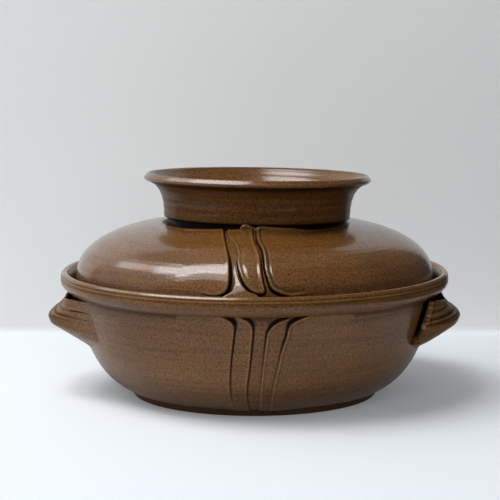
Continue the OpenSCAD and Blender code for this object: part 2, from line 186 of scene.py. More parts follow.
# Fine lines turned into the rim below its crest, as (height, width, strength), and a tan one between them
RIM_LINES, RIM_LINE_DEEP = ((78.3, 0.4, 1), (76.5, 0.5, 0.8)), 0.3
RIM_TAN_Z, RIM_DULL_Z = 77.5, 78.4
rim_line = sum(strength * bell(rim_over[:, 1], z, width) for z, width, strength in RIM_LINES)
rim_over = beside(rim_over, -RIM_LINE_DEEP * rim_line)


def section(line, step, rings=0.0, pool=0.0, thin=0.0, bare=0.0, dull=0.0):
    """A stretch of profile: its points, the spacing of its rows, and how the glaze lies on it, from 0 to 1:
    pool is dark, with pooled glaze and painted shade, thin is drawn off an edge, bare is wiped
    clean and dull shines little."""
    line = np.array(line, float)
    values = [np.broadcast_to(v, len(line)) for v in (step, rings, pool, thin, bare, dull)]
    return np.column_stack([line] + values)


def profile(sections, soft=0.3, closed=False):
    """Joins stretches into one profile, softens its corners and spaces its rows."""
    fine = 0.1
    rough = np.vstack(sections + ([sections[0][:1]] if closed else []))
    run = run_of(rough[:, :2])
    kept = np.concatenate([[True], np.diff(run) > 1e-6])
    even = np.arange(0, run[-1], fine)
    table = np.stack([np.interp(even, run[kept], column[kept]) for column in rough.T], 1)
    reach = int(4 * soft / fine)
    weights = np.exp(-0.5 * (np.arange(-reach, reach + 1) * fine / soft) ** 2)
    weights /= weights.sum()
    padded = np.pad(table, ((reach, reach), (0, 0)), mode="wrap" if closed else "edge")
    softened = np.stack([np.convolve(column, weights, "valid") for column in padded.T], 1)
    softened[:, 2] = table[:, 2]
    rows = np.cumsum(fine / softened[:, 2])
    count = int(rows[-1] - rows[0])
    places = np.linspace(rows[0], rows[-1], count)
    result = np.stack([np.interp(places, rows, column) for column in softened.T], 1)
    if closed:
        result[-1] = result[0]
    else:
        result[[0, -1], 0] = 0
    return result


# Painted shade darkens the belly towards the foot, and the glaze lies darker in a line below the neck
FOOT_SHADE, FOOT_SHADE_TOP, FOOT_SHADE_FADE, NECK_LINE_Z = 0.38, 28, 16, 63.3


def shade_to_foot(z):
    """How much painted shade darkens the belly at a height above the foot."""
    return FOOT_SHADE * smooth((FOOT_SHADE_TOP - z) / FOOT_SHADE_FADE)


bowl_profile = profile([
    section([[0, FOOT_HOLLOW], [FOOT_R - FOOT_W - FOOT_HOLLOW, FOOT_HOLLOW]], 3.0, bare=0.6),
    section([[FOOT_R - FOOT_W, 0], [FOOT_R - FOOT_BEVEL, 0]], 0.8, bare=1),
    section([[FOOT_R, FOOT_BEVEL], [FOOT_R, FOOT_H - 0.4]], 0.4, bare=0.75),
    section([[FOOT_R + 0.3, FOOT_H - 0.1], [FOOT_R + FOOT_STEP - 1, FOOT_H]], 0.35, pool=1),
    # Painted shade darkens the lower belly towards the foot
    section(belly_foot, 0.5, pool=0.25),
    section(belly_side, 1.25, rings=1,
            pool=0.4 * bell(belly_side[:, 1], NECK_LINE_Z, 0.7) + shade_to_foot(belly_side[:, 1])),
    # Painted shade under the rim's overhang, darkest at the neck
    section(belly_neck, 0.4, pool=0.55),
    section(rim_under[1:8], 0.4, pool=0.6),
    section(rim_under[8:], 0.4, pool=0.1, dull=0.2),
    section(rim_over, 0.25, pool=0.75 * rim_line, thin=0.9 * bell(rim_over[:, 1], RIM_TAN_Z, 0.6),
            dull=0.4 * smooth(RIM_DULL_Z - rim_over[:, 1])),
    section(lip_roll, 0.35, thin=0.1),
    section([[SEAT_R + 2, SEAT_Z + 5], [SEAT_R, SEAT_Z + 1], [SEAT_R - 0.4, SEAT_Z + 0.3]], 0.7, pool=0.7),
    section([[SEAT_R - 1, SEAT_Z], [seat_inner_r + 1, SEAT_Z]], 1.0, pool=0.35),
    section(under_seat, 0.8),
    section(inner_wall[inner_wall[:, 1] > floor_z + FLOOR_TURN_H][::-1], 2.0, rings=1),
    section(floor_turn, 2.0, rings=0.6),
    section([[FLOOR_R - 2, floor_z], [0, floor_z]], 2.5, rings=0.8),
])

lid_profile = profile([
    section((crown - [0, LID_T])[::-1][:50], 2.5),
    section(beside(dome, -LID_T)[: int(len(dome) * 0.95)][::-1], 2.0, rings=1),
    section([[LID_R - LID_T, SEAT_Z + 0.6], [LID_R - LID_T + 0.6, SEAT_Z]], 0.6),
    section([[LID_R - 0.8, SEAT_Z], [LID_R, SEAT_Z + 0.8]], 0.6, bare=0.5),
    section([[LID_R, SEAT_Z + 1.2], band_top], 0.7, pool=0.4),
    section(dome[1:12], 0.8, pool=0.15),
    section(dome[12:-4], 0.9, rings=1),
    # Painted shade in the seam under the collar's undercut, black on the crown
    section(dome[-4:], 0.5, pool=0.1),
    section(crown[1:6], 0.8, pool=0.9),
    section(crown[6:], 2.0, rings=0.5),
])

# The collar's glaze lies in faint bands, and painted shade darkens it under its lip
COLLAR_SUNK, BAND_SPACING, LIP_DARK_H, LIP_DARK_FADE = 3, 5.2, 11, 6
collar_z = collar_wall[3:, 1]
collar_bands_and_shade = (0.14 + 0.1 * np.sin(collar_z * FULL_TURN / BAND_SPACING)
               + 0.62 * smooth((collar_z - CREST_Z + LIP_DARK_H) / LIP_DARK_FADE))
undercut_r, collar_root_z = COLLAR_R - UNDERCUT_W, SHOULDER_Z - COLLAR_SUNK
collar_profile = profile([
    # Painted shade: black in the undercut at the collar's foot
    section([[COLLAR_R - COLLAR_T, collar_root_z], [undercut_r, collar_root_z]], 1.2, pool=1),
    section([[undercut_r, collar_root_z + 1], [undercut_r, SHOULDER_Z + UNDERCUT_H * 0.8]], 0.7, pool=1),
    section(collar_wall[:3], 0.35, pool=0.7),
    section(collar_wall[3:], 0.6, rings=1, pool=collar_bands_and_shade, dull=1),
    # Painted shade: a dark line under the lip's front edge
    section(collar_roll, 0.3, pool=0.85 * bell(np.arange(len(collar_roll)), 3, 10)),
    section(collar_hollow, 0.6, rings=0.4, pool=0.05 + 0.5 * bell(np.arange(len(collar_hollow)), 0, 1.6)),
], closed=True)


# Blender helpers

def linear(hex_colour):
    """An sRGB hex colour as linear RGBA."""
    shares = [int(hex_colour[i:i + 2], 16) / 255 for i in (1, 3, 5)]
    return [s / 12.92 if s <= 0.04045 else ((s + 0.055) / 1.055) ** 2.4 for s in shares] + [1.0]


def add_node(tree, kind, inputs=None, **settings):
    """Adds a node with its settings, and sets its inputs or links them to a socket or a node."""
    node = tree.nodes.new(kind)
    for name, value in settings.items():
        setattr(node, name, value)
    for socket, value in (inputs or {}).items():
        if isinstance(value, bpy.types.Node):
            value = value.outputs[0]
        if isinstance(value, bpy.types.NodeSocket):
            tree.links.new(value, node.inputs[socket])
        else:
            node.inputs[socket].default_value = value
    return node


def shown(name, mesh):
    """A mesh as an object of the scene."""
    piece = bpy.data.objects.new(name, mesh)
    bpy.context.scene.collection.objects.link(piece)
    return piece


def mesh_of(name, points, faces, material, values=None):
    """A closed, smooth mesh from points in millimetres, with a value of each attribute at each point."""
    mesh = bpy.data.meshes.new(name)
    mesh.from_pydata((np.asarray(points) * MM).tolist(), [], [list(f) for f in faces])
    for key, column in (values or {}).items():
        mesh.attributes.new(key, "FLOAT", "POINT").data.foreach_set("value", np.asarray(column, np.float32))
    mesh.materials.append(material)
    finished(mesh)
    return mesh


def finished(mesh):
    """Merges doubled points, turns the faces outwards and smooths the shading."""
    shape = bmesh.new()
    shape.from_mesh(mesh)
    bmesh.ops.remove_doubles(shape, verts=shape.verts, dist=1e-6)
    bmesh.ops.recalc_face_normals(shape, faces=shape.faces)
    for face in shape.faces:
        face.smooth = True
    shape.to_mesh(mesh)
    shape.free()


def grid_faces(rows, columns, start=0):
    """Quads of a grid of points that is numbered row by row."""
    return [(start + i * columns + j, start + i * columns + j + 1,
             start + (i + 1) * columns + j + 1, start + (i + 1) * columns + j)
            for i in range(rows - 1) for j in range(columns - 1)]


def tube_faces(rings, size, start=0):
    """Quads of a tube of points that is numbered ring by ring."""
    return [(start + i * size + j, start + i * size + (j + 1) % size,
             start + (i + 1) * size + (j + 1) % size, start + (i + 1) * size + j)
            for i in range(rings - 1) for j in range(size)]


def closed_sheet(rows, columns, start=0):
    """Faces of two grids, one behind the other, and of the edge between them."""
    half = rows * columns
    rim = ([(i * columns, (i + 1) * columns) for i in range(rows - 1)]
           + [(i * columns + columns - 1, (i + 1) * columns + columns - 1) for i in range(rows - 1)]
           + [(j, j + 1) for j in range(columns - 1)]
           + [(half - columns + j, half - columns + j + 1) for j in range(columns - 1)])
    return (grid_faces(rows, columns, start) + grid_faces(rows, columns, start + half)
            + [(start + a, start + b, start + b + half, start + a + half) for a, b in rim])


# Materials

RED_BROWN, OLIVE, IRON, POOL_AND_SHADE_BLACK, BARE_CLAY = "#8f5931", "#836024", "#40230e", "#100602", "#4a2a14"


def empty_material(name):
    """A new material with no nodes, and what adds a node to it."""
    material = bpy.data.materials.new(name)
    material.use_nodes = True
    material.node_tree.nodes.clear()
    return material, partial(add_node, material.node_tree)


def iron_glaze(name, thin, roughness):
    """Iron-brown satin glaze, dipped on thrown stoneware and fired in reduction: a satin body under a thin
    glassy skin, a grain of red-brown, olive and iron, streaks that follow the throwing rings, black where it
    pools and where shade is painted, and a thin tan where it draws off an edge."""
    material, add = empty_material(name)
    place = add("ShaderNodeTexCoord").outputs["Object"]

    def value(attribute):
        return add("ShaderNodeAttribute", attribute_name=attribute).outputs["Fac"]

    run, pool, drawn, bare = value("run"), value("pool"), value("thin"), value("bare")

    # Round the wheel's axis, so that a streak follows its ring: 2 mm across and about 60 mm long
    around = add("ShaderNodeVectorMath", {0: place, 1: (1, 1, 0)}, operation="MULTIPLY")
    around = add("ShaderNodeVectorMath", {0: around}, operation="NORMALIZE")
    around = add("ShaderNodeVectorMath", {0: around, "Scale": 1.8}, operation="SCALE")
    ring = add("ShaderNodeCombineXYZ", {"Z": add(
        "ShaderNodeMath", {0: run, 1: 1 / (2.2 * MM)}, operation="MULTIPLY")})
    ring = add("ShaderNodeVectorMath", {0: around, 1: ring}, operation="ADD")
    streak = add("ShaderNodeTexNoise", {"Vector": ring, "Scale": 1.0, "Detail": 3.0, "Roughness": 0.6})
    # Clouds of thicker and thinner glaze, about 45 mm across
    cloud = add("ShaderNodeTexNoise", {"Vector": place, "Scale": 1 / (45 * MM), "Detail": 3.0})
    # Grain of red-brown and olive, about 2 mm, and pepper of iron, about 0.8 mm
    grain = add("ShaderNodeTexNoise", {
        "Vector": place, "Scale": 1 / (2 * MM), "Detail": 3.0, "Roughness": 0.7})
    pepper = add("ShaderNodeTexNoise", {
        "Vector": place, "Scale": 1 / (0.8 * MM), "Detail": 2.0, "Roughness": 0.7})
    # Iron spots, one to each few cells of 9 mm
    spot = add("ShaderNodeTexVoronoi", {"Vector": place, "Scale": 1 / (9 * MM)})
    spot_size = add("ShaderNodeMapRange", {0: spot.outputs["Color"], 1: 0.55, 2: 1.0, 3: 0.0, 4: 0.09})
    spot_dark = add("ShaderNodeMath", {0: spot_size, 1: spot.outputs["Distance"]}, operation="GREATER_THAN")

    tone = add("ShaderNodeMapRange", {0: grain, 1: 0.42, 2: 0.58})
    colour = add("ShaderNodeMix", {0: tone, 6: linear(RED_BROWN), 7: linear(OLIVE)}, data_type="RGBA")
    for pattern, low, high, most in (
            (cloud, 0.45, 0.75, 0.3), (streak, 0.45, 0.75, 0.46), (pepper, 0.47, 0.61, 0.9)):
        share = add("ShaderNodeMapRange", {0: pattern, 1: low, 2: high, 3: 0.0, 4: most})
        colour = add("ShaderNodeMix", {0: share, 6: colour.outputs[2], 7: linear(IRON)}, data_type="RGBA")
    broken = add("ShaderNodeMapRange", {0: grain, 1: 0.36, 2: 0.64, 3: 0.25, 4: 1.0})
    broken = add("ShaderNodeMath", {0: drawn, 1: broken}, operation="MULTIPLY")
    spotted = add("ShaderNodeMath", {0: spot_dark, 1: 0.6}, operation="MULTIPLY")
    for share, shade in ((spotted, POOL_AND_SHADE_BLACK), (broken, thin), (pool, POOL_AND_SHADE_BLACK), (bare, BARE_CLAY)):
        colour = add("ShaderNodeMix", {0: share, 6: colour.outputs[2], 7: linear(shade)}, data_type="RGBA")

    gloss = add("ShaderNodeMapRange", {0: pepper, 1: 0.3, 2: 0.7, 3: 0.4, 4: 0.5})
    gloss = add("ShaderNodeMix", {0: bare, 2: gloss, 3: 0.75})
    # Pooled glaze and painted shade are where little of the room is mirrored, so their reflection is cut
    #     too, as painted shade
    mirror = add("ShaderNodeMapRange", {0: pool, 1: 0.0, 2: 0.8, 3: 1.0, 4: 0.04})
    # The rim and the lid are glazed thicker, so they shine more than the bowl's side
    height = add("ShaderNodeSeparateXYZ", {0: place}).outputs["Z"]
    shine = add("ShaderNodeMapRange", {0: height, 1: 70 * MM, 2: 80 * MM, 3: 0.3, 4: 0.72})
    shine = add("ShaderNodeMath", {0: shine, 1: mirror}, operation="MULTIPLY")
    lively = add("ShaderNodeMapRange", {0: value("dull"), 3: 1.0, 4: 0.25})
    mirror = add("ShaderNodeMath", {0: shine, 1: lively}, operation="MULTIPLY")
    glazed = add("ShaderNodeMath", {0: 1.3, 1: bare}, operation="SUBTRACT")
    skin = add("ShaderNodeMath", {0: mirror, 1: glazed}, operation="MULTIPLY", use_clamp=True)
    relief = add("ShaderNodeMath", {0: grain, 1: streak}, operation="ADD")
    bump = add("ShaderNodeBump", {"Strength": 0.3, "Distance": 0.15 * MM, "Height": relief})
    shader = add("ShaderNodeBsdfPrincipled", {
        "Base Color": colour.outputs[2], "Roughness": gloss, "Specular IOR Level": 0.08,
        "Coat Weight": skin, "Coat Roughness": roughness, "Coat IOR": 1.65, "Normal": bump,
        "Coat Normal": bump})
    add("ShaderNodeOutputMaterial", {"Surface": shader})
    return material


thrown_glaze = iron_glaze("Iron_glaze_on_thrown_stoneware", "#b07c42", 0.17)
handle_glaze = iron_glaze("Iron_glaze_on_slab_handles", "#b08450", 0.16)
fold_glaze = iron_glaze("Iron_glaze_on_draped_clay", "#b8864e", 0.12)


def plain_cloth(name, floor_colour, backdrop_colour, floor_end, backdrop_start):
    """Smooth matt cloth, pale on the floor and a little greyer where it hangs. The camera and mirrors see it
    lifted by a painted glow, more so far from the lamps, so that its shadows stay soft and the pot isn't lit
    by it; the pot mirrors it with that painted glow. From behind it is clear, so that it hides no side."""
    material, add = empty_material(name)
    place = add("ShaderNodeTexCoord").outputs["Object"]
    height = add("ShaderNodeSeparateXYZ", {0: place}).outputs["Z"]
    share = add("ShaderNodeMapRange", {
        0: height, 1: floor_end, 2: backdrop_start}, interpolation_type="SMOOTHSTEP")
    colour = add("ShaderNodeMix", {
        0: share, 6: linear(floor_colour), 7: linear(backdrop_colour)}, data_type="RGBA")
    # Painted glow, seen by the camera and in mirrors only
    path = add("ShaderNodeLightPath").outputs
    seen = add("ShaderNodeMath", {0: path["Is Camera Ray"], 1: path["Is Glossy Ray"]}, operation="ADD")
    seen = add("ShaderNodeMath", {0: seen, 1: path["Is Transmission Ray"]}, operation="ADD", use_clamp=True)
    distance = add("ShaderNodeVectorMath", {0: place}, operation="LENGTH").outputs["Value"]
    lift = add("ShaderNodeMapRange", {0: distance, 1: 0.5, 2: 2.5, 3: 0.15, 4: 0.6})
    lifted = add("ShaderNodeMath", {0: seen, 1: lift}, operation="MULTIPLY")
    shader = add("ShaderNodeBsdfPrincipled", {
        "Base Color": colour.outputs[2], "Roughness": 0.9, "Specular IOR Level": 0.1,
        "Emission Color": colour.outputs[2], "Emission Strength": lifted})
    clear = add("ShaderNodeBsdfTransparent")
    one_sided = add("ShaderNodeMixShader", {
        0: add("ShaderNodeNewGeometry").outputs["Backfacing"], 1: shader, 2: clear})
    add("ShaderNodeOutputMaterial", {"Surface": one_sided})
    return material


# Thrown pieces

def thrown_tree():
    """Turns a profile round the wheel's axis, with the spiral of throwing rings that fingers leave."""
    tree = bpy.data.node_groups.new("Wheel_thrown_form", "GeometryNodeTree")
    tree.interface.new_socket("Geometry", in_out="OUTPUT", socket_type="NodeSocketGeometry")
    sockets = {"Profile": "Geometry", "Segments": "Int", "Ring Spacing": "Float", "Ring Depth": "Float",
               "Wobble": "Float", "Seed": "Float", "Glaze": "Material"}
    for name, kind in sockets.items():
        tree.interface.new_socket(name, in_out="INPUT", socket_type="NodeSocket" + kind)
    add = partial(add_node, tree)
    given = add("NodeGroupInput").outputs
    count = add("GeometryNodeAttributeDomainSize", {0: given["Profile"]}, component="MESH")
    columns = add("ShaderNodeMath", {0: given["Segments"], 1: 1}, operation="ADD")
    grid = add("GeometryNodeMeshGrid", {"Vertices X": columns, "Vertices Y": count.outputs["Point Count"]})
    index = add("GeometryNodeInputIndex")
    share = add("ShaderNodeMath", {0: index, 1: count.outputs["Point Count"]}, operation="DIVIDE")
    column = add("ShaderNodeMath", {0: share}, operation="FLOOR")
    row = add("ShaderNodeMath", {0: index, 1: count.outputs["Point Count"]}, operation="FLOORED_MODULO")
    turn = add("ShaderNodeMath", {0: column, 1: given["Segments"]}, operation="DIVIDE")
    angle = add("ShaderNodeMath", {0: turn, 1: FULL_TURN}, operation="MULTIPLY")

    def sampled(field, kind):
        return add("GeometryNodeSampleIndex", {
            "Geometry": given["Profile"], "Value": field, "Index": row}, data_type=kind)

    def named(attribute, kind="FLOAT"):
        return add("GeometryNodeInputNamedAttribute", {"Name": attribute}, data_type=kind)

    spot = sampled(add("GeometryNodeInputPosition"), "FLOAT_VECTOR")
    out = sampled(named("out", "FLOAT_VECTOR"), "FLOAT_VECTOR")
    kept = {key: sampled(named(key), "FLOAT") for key in ("run", "rings", "pool", "thin", "bare", "dull")}

    # The spiral's depth swells and fades round the pot
    turned = add("ShaderNodeVectorRotate", {"Vector": spot, "Angle": angle}, rotation_type="Z_AXIS")
    seeded = add("ShaderNodeVectorMath", {0: turned, 1: given["Seed"]}, operation="ADD")
    swell = add("ShaderNodeTexNoise", {"Vector": seeded, "Scale": 1 / (40 * MM), "Detail": 1.0})
    phase = add("ShaderNodeMath", {0: kept["run"], 1: given["Ring Spacing"]}, operation="DIVIDE")
    phase = add("ShaderNodeMath", {0: phase, 1: turn}, operation="ADD")
    phase = add("ShaderNodeMath", {0: phase, 1: FULL_TURN, 2: swell}, operation="MULTIPLY_ADD")
    wave = add("ShaderNodeMath", {0: phase}, operation="SINE")
    wave = add("ShaderNodeMath", {0: wave, 1: swell}, operation="MULTIPLY")
    depth = add("ShaderNodeMath", {0: wave, 1: given["Ring Depth"]}, operation="MULTIPLY")
    depth = add("ShaderNodeMath", {0: depth, 1: kept["rings"]}, operation="MULTIPLY")
    pushed = add("ShaderNodeVectorMath", {0: out, "Scale": depth}, operation="SCALE")
    pushed = add("ShaderNodeVectorMath", {0: spot, 1: pushed}, operation="ADD")
    # A pot is never quite round
    oval = add("ShaderNodeMath", {0: angle, 1: 2, 2: 0.7}, operation="MULTIPLY_ADD")
    oval = add("ShaderNodeMath", {0: oval}, operation="SINE")
    oval = add("ShaderNodeMath", {0: oval, 1: given["Wobble"]}, operation="MULTIPLY")
    oval = add("ShaderNodeMath", {0: oval, 1: 1}, operation="ADD")
    oval = add("ShaderNodeCombineXYZ", {"X": oval, "Y": oval, "Z": 1})
    pushed = add("ShaderNodeVectorMath", {0: pushed, 1: oval}, operation="MULTIPLY")
    placed = add("ShaderNodeVectorRotate", {"Vector": pushed, "Angle": angle}, rotation_type="Z_AXIS")

    body = add("GeometryNodeSetPosition", {"Geometry": grid.outputs["Mesh"], "Position": placed})
    for key in ("run", "pool", "thin", "bare", "dull"):
        body = add("GeometryNodeStoreNamedAttribute", {
            "Geometry": body, "Name": key, "Value": kept[key]},
            data_type="FLOAT", domain="POINT")
    body = add("GeometryNodeMergeByDistance", {"Geometry": body, "Distance": 0.001 * MM})
    body = add("GeometryNodeRealizeInstances", {"Geometry": body})
    body = add("GeometryNodeSetMaterial", {"Geometry": body, "Material": given["Glaze"]})
    add("NodeGroupOutput", {0: body})
    return tree


throwing = thrown_tree()
SEGMENTS = 288


def thrown(name, rows, glaze, spacing, depth, wobble, seed):
    """A piece turned from its profile."""
    line = rows[:, :2]
    way = directions(line)
    mesh = bpy.data.meshes.new(name)
    mesh.from_pydata([(r * MM, 0, z * MM) for r, z in line], [(i, i + 1) for i in range(len(line) - 1)], [])
    mesh.attributes.new("out", "FLOAT_VECTOR", "POINT").data.foreach_set(
        "vector", np.stack([way[:, 1], 0 * way[:, 0], -way[:, 0]], 1).astype(np.float32).ravel())
    values = np.column_stack([run_of(line) * MM, rows[:, 3:]])
    for key, column in zip(("run", "rings", "pool", "thin", "bare", "dull"), values.T):
        mesh.attributes.new(key, "FLOAT", "POINT").data.foreach_set("value", column.astype(np.float32))
    piece = shown(name, mesh)
    modifier = piece.modifiers.new("Throwing", "NODES")
    modifier.node_group = throwing
    settings = {"Segments": SEGMENTS, "Ring Spacing": spacing * MM, "Ring Depth": depth * MM,
                "Wobble": wobble, "Seed": seed, "Glaze": glaze}
    for item in throwing.interface.items_tree:
        if item.in_out == "INPUT" and item.name in settings:
            modifier[item.identifier] = settings[item.name]
    depsgraph = bpy.context.evaluated_depsgraph_get()
    turned = bpy.data.meshes.new_from_object(
        piece.evaluated_get(depsgraph), preserve_all_data_layers=True, depsgraph=depsgraph)
    piece.modifiers.clear()
    piece.data = turned
    finished(turned)
    return piece


def joined_to(piece, body, slot, *nodes):
    """Tells the frame what a finished piece rides on and stands for; what it is finished in, slot, is not
    used.
    """
    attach(piece, body)
    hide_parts(*nodes)


bowl = thrown("Bowl", bowl_profile, thrown_glaze, spacing=4.2, depth=0.09, wobble=0.0012, seed=3.1)
joined_to(bowl, "dish", "stoneware_glaze", "bowl")

lid = thrown("Lid_dome", lid_profile, thrown_glaze, spacing=3.8, depth=0.045, wobble=0.001, seed=7.7)
joined_to(lid, "lid", "stoneware_glaze", "lid_dome")

# The collar was set on the lid by eye: a little to the right, and leaning
collar = thrown("Lid_collar", collar_profile, thrown_glaze, spacing=4.5, depth=0.12, wobble=0.002, seed=1.9)
collar.data.transform(
    Matrix.Translation((COLLAR_X * MM, 0, SHOULDER_Z * MM)) @ Matrix.Rotation(COLLAR_TILT, 4, "Y")
    @ Matrix.Rotation(-COLLAR_LEAN, 4, "X") @ Matrix.Translation((0, 0, -SHOULDER_Z * MM)))
joined_to(collar, "lid", "stoneware_glaze", "lid_collar")


# Handles: a slab bent outwards and luted to the wall, flat and fanned out at its ends. One end is open, the
# other is smoothed on to the wall, and is a little longer.

LIP_Z, ROOT_Z = NECK_Z - HANDLE_TOP, NECK_Z - ROOT_DROP
OPEN_END_Z, SMOOTHED_END_Z = NECK_Z + 0.6, NECK_Z - 0.4
NOSE = np.array([NECK_R + HANDLE_OUT, NECK_Z - HANDLE_DROP])
NOSE_ROUND = HANDLE_T * 0.42
SMOOTH_FROM, OPEN_BEND, SLOT_END, END_FAN = 0.3, 2.6, 0.45, 2.6
SMOOTHED_LONGER, MIDDLE_ROUND, HANDLE_LIP_T, LUTED_H, HANDLE_SUNK = 1.12, 0.17, 1.7, 5.4, 0.8
CUT_FROM, CUT_LOW, SHADOW_LINE_AT, DAB_SPACING = 0.972, 0.24, 0.953, 2.6
GROOVES = ((60.6, 0.45, 0.35), (58.9, 0.7, 0.45), (56.2, 0.9, 0.45), (54, 0.6, 0.4))
RIDGES = ((59.8, 0.4), (57.5, 0.5), (55.1, 0.4))
PELLET_TURN, PELLET_Z, PELLET_STAND, PELLET_R = math.radians(28.2), 51.6, 5.2, (1.7, 1.6, 1.9)
SHADE_PATCH_TURNS, SHADE_PATCH_Z, SHADE_PATCH_T, SHADE_PATCH_SUNK = (-20, 27.6), (47, 68.4), 0.18, 0.6


def wall_r(z):
    """Radius of the bowl's wall at a height."""
    return np.interp(z, belly[:, 1], belly[:, 0])


def lug_handle():
    """Points, faces and glaze of a handle at +X, whose open end is at -Y."""
    rows, steps = 110, 170
    size = 2 * rows
    lip_face = np.array([wall_r(LIP_Z) + HANDLE_SLOT + HANDLE_T, LIP_Z])
    # The lip is drawn out thinner than the rest
    lip_back, lip_top = lip_face - [HANDLE_LIP_T, 0], lip_face - [HANDLE_LIP_T / 2, 0]
    root, back_root = (np.array([wall_r(z), z]) for z in (ROOT_Z, ROOT_Z + LUTED_H))
    lip_pull = np.array([HANDLE_OUT * 0.1, -HANDLE_DROP * 0.26])
    nose_pull = np.array([-HANDLE_OUT * 0.24, HANDLE_DROP * 0.24])
    nose_over = NOSE + [0, NOSE_ROUND]
    nose_under = NOSE - NOSE_ROUND * np.array([1.07, 1.73])
    nose_back = nose_over - [HANDLE_T * 1.55, 0]
    luted = bezier([nose_under, nose_under + (root - nose_under) * 0.6, root + [1.6, 3], root], 30)
    front_bend = bezier([lip_face, lip_face + lip_pull, nose_over + nose_pull, nose_over])
    back_bend = bezier([lip_back, lip_back + lip_pull, nose_back + nose_pull, nose_back])
    back_under = nose_back - NOSE_ROUND * np.array([1.07, 1.3])
    face = eased(np.vstack([[lip_top], front_bend, luted]), rows, 0.6)
    back = eased(np.vstack([[lip_top], back_bend, [back_under], [back_root]]), rows, 0.6)
    above = face[:, 1] > NOSE[1] + 1
    cut = sum(deep * bell(face[:, 1], z, wide) for z, deep, wide in GROOVES) * above
    ridge = sum(bell(face[:, 1], z, wide) for z, wide in RIDGES) * above
    ring = np.vstack([beside(face, cut), back[::-1]])
    low = np.clip((LIP_Z - ring[:, 1]) / (LIP_Z - ROOT_Z), 0, 1)
    outer = np.arange(size) < rows
    furrow, ridge = (np.concatenate([v, np.zeros(rows)]) for v in (cut, ridge))
    twin = np.arange(size)[::-1]
    upper = 1 - smooth(low / 0.3)
    # The lip stays free for longer than what is below it, and rises sooner
    start = SMOOTH_FROM + np.where(outer, 0.25, 0.5) * upper
    # Painted shade: black inside, as far down as the slot is open
    behind = 0.95 - 0.8 * smooth((low - SLOT_END) / 0.1)
    points, pool, thin, dull = [], [], [], []
    for end in np.linspace(-1, 1, steps):
        turn = end * HANDLE_SPAN / 2 * (SMOOTHED_LONGER if end < 0 else 1)
        off = (math.hypot(end, MIDDLE_ROUND) - MIDDLE_ROUND) / (math.hypot(1, MIDDLE_ROUND) - MIDDLE_ROUND)
        if end < 0:
            draw, rise, end_top = smooth((-end - start) / (1 - start)), 1 - (1 - off) ** 2.7, SMOOTHED_END_Z
            stand_end = np.where(outer, -0.25, -HANDLE_SUNK)
        else:
            draw, rise, end_top = end ** OPEN_BEND, off ** 0.9, OPEN_END_Z
            stand_end = np.where(outer, (HANDLE_SLOT + HANDLE_T) * (1 - low ** 6),
                                 HANDLE_SLOT * (1 - np.clip(low / SLOT_END, 0, 1) ** 3))
        end_z = end_top + (ROOT_Z + ROOT_RISE - end_top) * (1 - (1 - low) ** END_FAN)
        z = ring[:, 1] + (end_z - ring[:, 1]) * (draw + (rise - draw) * upper)
        stand = ring[:, 0] - wall_r(ring[:, 1])
        stand = stand + (stand_end - stand) * draw
        stand = np.where(outer, stand, np.minimum(stand, stand[twin] - 0.5))
        middle = (stand + stand[twin]) / 2
        rounded = math.sqrt(1 - np.clip((end - 0.98) / 0.02, 0, 1) ** 2)
        stand = middle + (stand - middle) * (0.6 + 0.4 * rounded)
        wave = 0.25 * np.sin(9 * end + z * 0.2) * outer * np.clip(stand, 0, 1)
        r = wall_r(z) + np.maximum(stand, -HANDLE_SUNK) + wave
        points.append(np.stack([r * math.cos(turn), -r * math.sin(turn), z], 1))
        faded = 1 - smooth((-end - 0.35) / 0.45)
        # Down the cut end glaze has caught in dabs on a paler tan, which is thin glaze and painted light
        #         where the end faces the lamps, with a painted shadow line beside it
        cut_part = 1 - smooth((low - CUT_LOW) / 0.06)
        cut_end = smooth((end - CUT_FROM) / 0.015) * cut_part
        dabs = 0.5 + 0.5 * np.sin(z * FULL_TURN / DAB_SPACING + 1)
        pool.append(np.where(outer, (0.12 + 0.9 * furrow) * faded, behind) * (1 - cut_end)
                    + (0.1 + 0.5 * dabs) * cut_end + 0.6 * bell(end, SHADOW_LINE_AT, 0.012) * outer * cut_part)
        thin.append(np.where(outer, 0.7 * ridge * faded, 0) + 0.8 * (1 - dabs) * cut_end)
        dull.append(np.full(size, faded))
    faces = tube_faces(steps, size)
    for far in (0, (steps - 1) * size):
        for i in range(rows - 1):
            faces.append((far + i, far + i + 1, far + size - 2 - i, far + size - 1 - i))

    # A pellet of clay pressed in where the open end's slot closes
    r = wall_r(PELLET_Z) + PELLET_STAND
    around, over = np.linspace(0, FULL_TURN, 24, endpoint=False), np.linspace(0, math.pi, 13)
    ball = np.array([[math.sin(b) * math.cos(a), math.sin(b) * math.sin(a), math.cos(b)]
                     for b in over for a in around]) * PELLET_R
    start = steps * size
    points.append(ball + [r * math.cos(PELLET_TURN), -r * math.sin(PELLET_TURN), PELLET_Z])
    pool.append(np.zeros(len(ball)))
    thin.append(np.ones(len(ball)))
    dull.append(np.ones(len(ball)))
    faces += tube_faces(len(over), len(around), start)

    # Painted shade: a black sheet on the wall behind the slab, as far as its open end
    turns, heights = np.radians(np.linspace(*SHADE_PATCH_TURNS, 40)), np.linspace(*SHADE_PATCH_Z, 30)
    start, half = start + len(ball), len(turns) * len(heights)
    for stand in (SHADE_PATCH_T, -SHADE_PATCH_SUNK):
        points.append(np.array([[(wall_r(z) + stand) * math.cos(t), -(wall_r(z) + stand) * math.sin(t), z]
                                for t in turns for z in heights]))
        pool.append(np.ones(half))
        thin.append(np.zeros(half))
        dull.append(np.ones(half))
    faces += closed_sheet(len(turns), len(heights), start)
    points = np.vstack(points)
    values = {key: np.concatenate(parts) for key, parts in (("pool", pool), ("thin", thin), ("dull", dull))}
    return points, faces, {"run": points[:, 2] * MM, **values}


